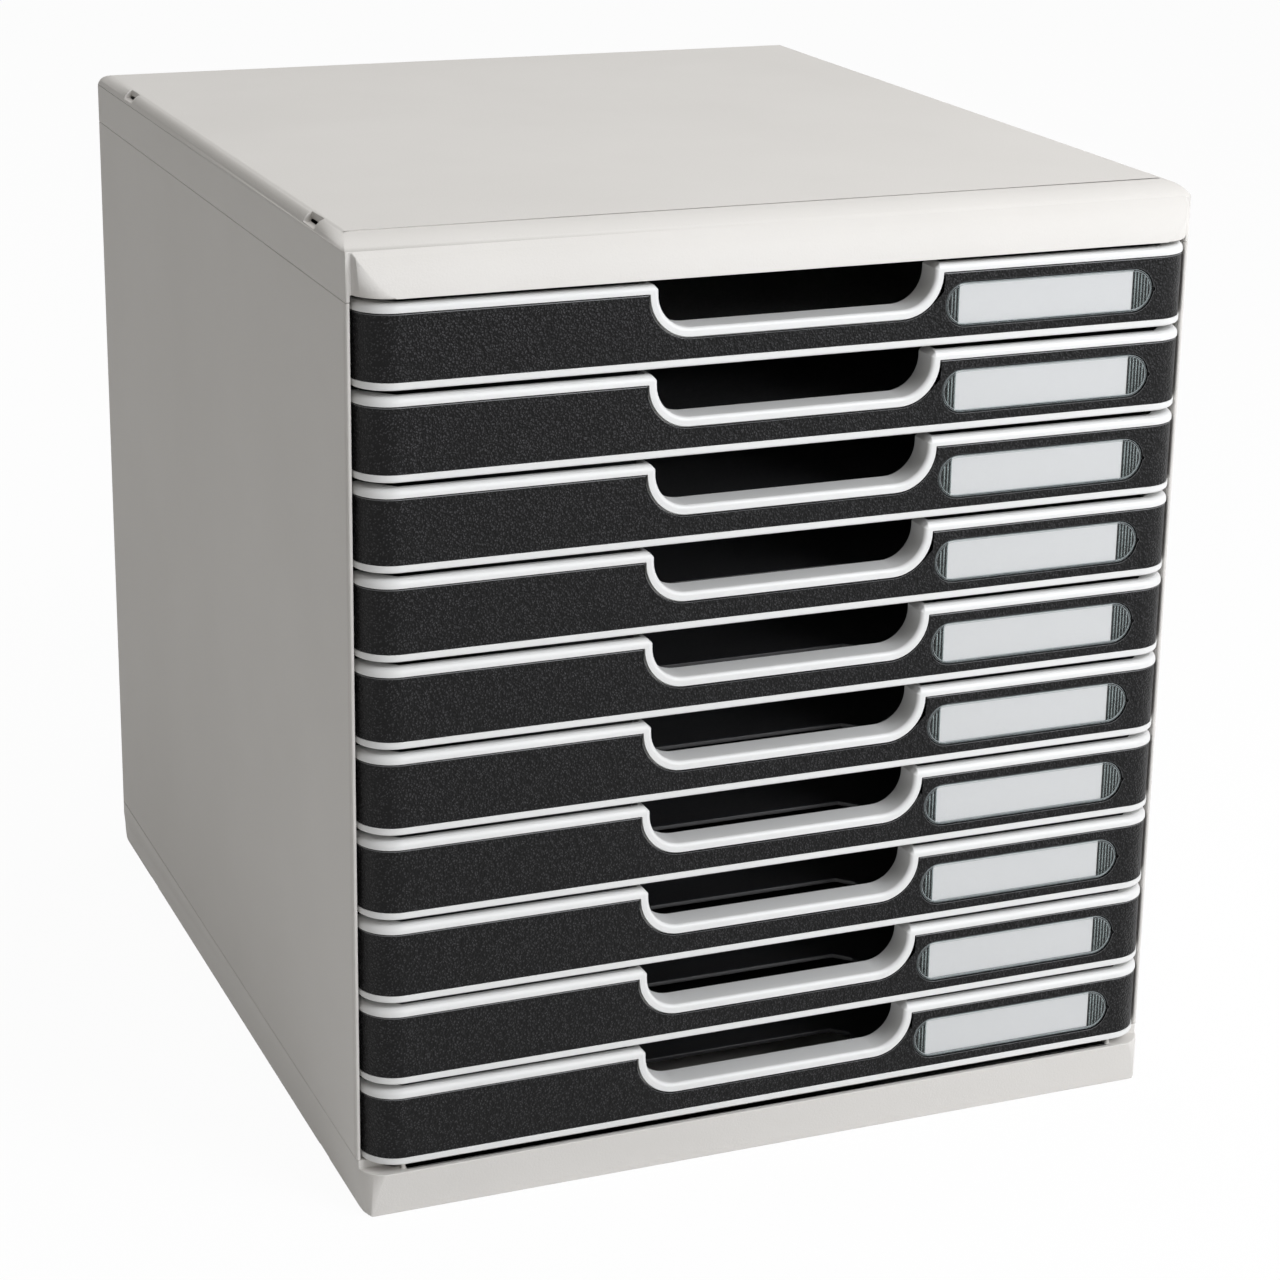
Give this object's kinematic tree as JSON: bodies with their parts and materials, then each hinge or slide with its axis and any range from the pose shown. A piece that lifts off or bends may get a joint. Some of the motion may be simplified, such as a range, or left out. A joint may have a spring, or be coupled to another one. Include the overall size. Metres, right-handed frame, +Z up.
{
  "type": "desktop drawer organizer",
  "caption": "Light grey desktop casing with a crowned hood, holding a stack of shallow pull-out trays with dark fronts, finger notches and label windows.",
  "frame": {"origin": "middle of the footprint, on the surface the unit stands on", "axes": "+X to the right seen from the front, front faces -Y, +Z up"},
  "size_m": [0.288, 0.339, 0.32],
  "materials": {
    "casing_light": "moulded polystyrene, light warm grey, satin with a fine grain on the hood",
    "front_light": "moulded polystyrene, light grey, smooth satin",
    "front_dark": "moulded plastic, near black, leather-like grain",
    "tray_dark": "moulded polystyrene, near black, satin",
    "window_clear": "clear moulded plastic with ribbed ends",
    "card_paper": "plain white paper card"
  },
  "bodies": {
    "casing": {"lid": "casing_light", "base": "casing_light", "side_panel_left": "casing_light", "side_panel_right": "casing_light", "back_panel": "casing_light"},
    "drawer_01": {"drawer_01_tray": "tray_dark", "drawer_01_front_frame": "front_light", "drawer_01_front_panel": "front_dark", "drawer_01_label_window": "window_clear", "drawer_01_label_card": "card_paper"},
    "drawer_02": {"drawer_02_tray": "tray_dark", "drawer_02_front_frame": "front_light", "drawer_02_front_panel": "front_dark", "drawer_02_label_window": "window_clear", "drawer_02_label_card": "card_paper"},
    "drawer_03": {"drawer_03_tray": "tray_dark", "drawer_03_front_frame": "front_light", "drawer_03_front_panel": "front_dark", "drawer_03_label_window": "window_clear", "drawer_03_label_card": "card_paper"},
    "drawer_04": {"drawer_04_tray": "tray_dark", "drawer_04_front_frame": "front_light", "drawer_04_front_panel": "front_dark", "drawer_04_label_window": "window_clear", "drawer_04_label_card": "card_paper"},
    "drawer_05": {"drawer_05_tray": "tray_dark", "drawer_05_front_frame": "front_light", "drawer_05_front_panel": "front_dark", "drawer_05_label_window": "window_clear", "drawer_05_label_card": "card_paper"},
    "drawer_06": {"drawer_06_tray": "tray_dark", "drawer_06_front_frame": "front_light", "drawer_06_front_panel": "front_dark", "drawer_06_label_window": "window_clear", "drawer_06_label_card": "card_paper"},
    "drawer_07": {"drawer_07_tray": "tray_dark", "drawer_07_front_frame": "front_light", "drawer_07_front_panel": "front_dark", "drawer_07_label_window": "window_clear", "drawer_07_label_card": "card_paper"},
    "drawer_08": {"drawer_08_tray": "tray_dark", "drawer_08_front_frame": "front_light", "drawer_08_front_panel": "front_dark", "drawer_08_label_window": "window_clear", "drawer_08_label_card": "card_paper"},
    "drawer_09": {"drawer_09_tray": "tray_dark", "drawer_09_front_frame": "front_light", "drawer_09_front_panel": "front_dark", "drawer_09_label_window": "window_clear", "drawer_09_label_card": "card_paper"},
    "drawer_10": {"drawer_10_tray": "tray_dark", "drawer_10_front_frame": "front_light", "drawer_10_front_panel": "front_dark", "drawer_10_label_window": "window_clear", "drawer_10_label_card": "card_paper"}
  },
  "joints": [
    {"name": "drawer_01_slide", "type": "slide", "parent": "casing", "child": "drawer_01", "axis": [0, -1, 0], "range_m": [0, 0.25]},
    {"name": "drawer_02_slide", "type": "slide", "parent": "casing", "child": "drawer_02", "axis": [0, -1, 0], "range_m": [0, 0.25]},
    {"name": "drawer_03_slide", "type": "slide", "parent": "casing", "child": "drawer_03", "axis": [0, -1, 0], "range_m": [0, 0.25]},
    {"name": "drawer_04_slide", "type": "slide", "parent": "casing", "child": "drawer_04", "axis": [0, -1, 0], "range_m": [0, 0.25]},
    {"name": "drawer_05_slide", "type": "slide", "parent": "casing", "child": "drawer_05", "axis": [0, -1, 0], "range_m": [0, 0.25]},
    {"name": "drawer_06_slide", "type": "slide", "parent": "casing", "child": "drawer_06", "axis": [0, -1, 0], "range_m": [0, 0.25]},
    {"name": "drawer_07_slide", "type": "slide", "parent": "casing", "child": "drawer_07", "axis": [0, -1, 0], "range_m": [0, 0.25]},
    {"name": "drawer_08_slide", "type": "slide", "parent": "casing", "child": "drawer_08", "axis": [0, -1, 0], "range_m": [0, 0.25]},
    {"name": "drawer_09_slide", "type": "slide", "parent": "casing", "child": "drawer_09", "axis": [0, -1, 0], "range_m": [0, 0.25]},
    {"name": "drawer_10_slide", "type": "slide", "parent": "casing", "child": "drawer_10", "axis": [0, -1, 0], "range_m": [0, 0.25]}
  ]
}
